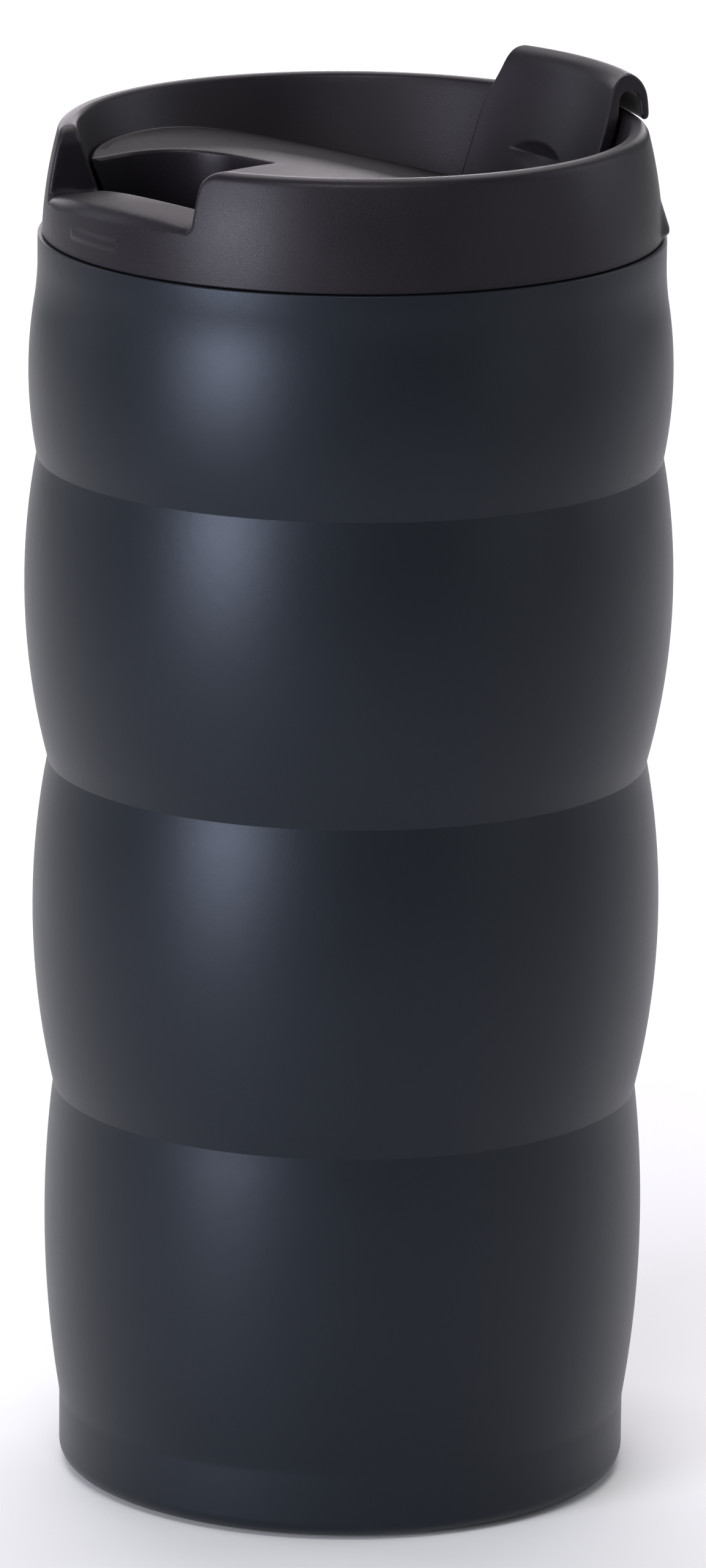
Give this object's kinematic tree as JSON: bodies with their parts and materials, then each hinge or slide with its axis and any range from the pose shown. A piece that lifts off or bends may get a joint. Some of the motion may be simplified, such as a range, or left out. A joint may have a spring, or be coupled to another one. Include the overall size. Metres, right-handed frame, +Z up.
{
  "type": "insulated travel mug",
  "caption": "Slim double-wall steel travel mug with waisted tiers, a push-in lid with a drinking notch and a closure dial turned by a hook over the rim.",
  "frame": {"origin": "centre of the foot, on the surface the mug stands on", "axes": "+Z up along the cup's axis, drinking notch towards -Y, hook towards +Y at rest, +X to the right seen from the drinking side"},
  "size_m": [0.0744, 0.0744, 0.163],
  "materials": {
    "painted_steel": "satin dark slate-blue powder coat",
    "bare_steel": "fine brushed",
    "foil": "bright crinkled foil",
    "getter_metal": "matte sintered",
    "solder": "dull solder",
    "pad_silicone": "matte",
    "lid_plastic": "fine spark-eroded charcoal",
    "plug_plastic": "smooth satin charcoal",
    "dial_plastic": "fine spark-eroded charcoal",
    "gasket_silicone": "matte translucent grey",
    "spring_steel": "plain"
  },
  "bodies": {
    "cup": {"outer_shell": "painted_steel", "inner_liner": "bare_steel", "base_cap": "bare_steel", "heat_shield": "foil", "vacuum_getter": "getter_metal", "vacuum_seal": "solder", "base_pad": "pad_silicone"},
    "lid": {"lid_rim": "lid_plastic", "lid_plug": "plug_plastic", "plug_cover": "plug_plastic", "lid_gasket": "gasket_silicone"},
    "dial": {"dial_cap": "dial_plastic", "dial_base": "plug_plastic", "dial_seal": "gasket_silicone", "thumb_hook": "dial_plastic", "pivot_oring": "gasket_silicone", "wave_spring": "spring_steel", "stop_plate": "spring_steel", "pivot_screw": "spring_steel"}
  },
  "joints": [
    {"name": "lid_lift", "type": "slide", "parent": "cup", "child": "lid", "axis": [0, 0, 1], "range_m": [0, 0.04]},
    {"name": "dial_turn", "type": "hinge", "parent": "lid", "child": "dial", "pos_m": [0, 0, 0.142], "axis": [0, 0, 1], "range_deg": [0, 180]}
  ]
}
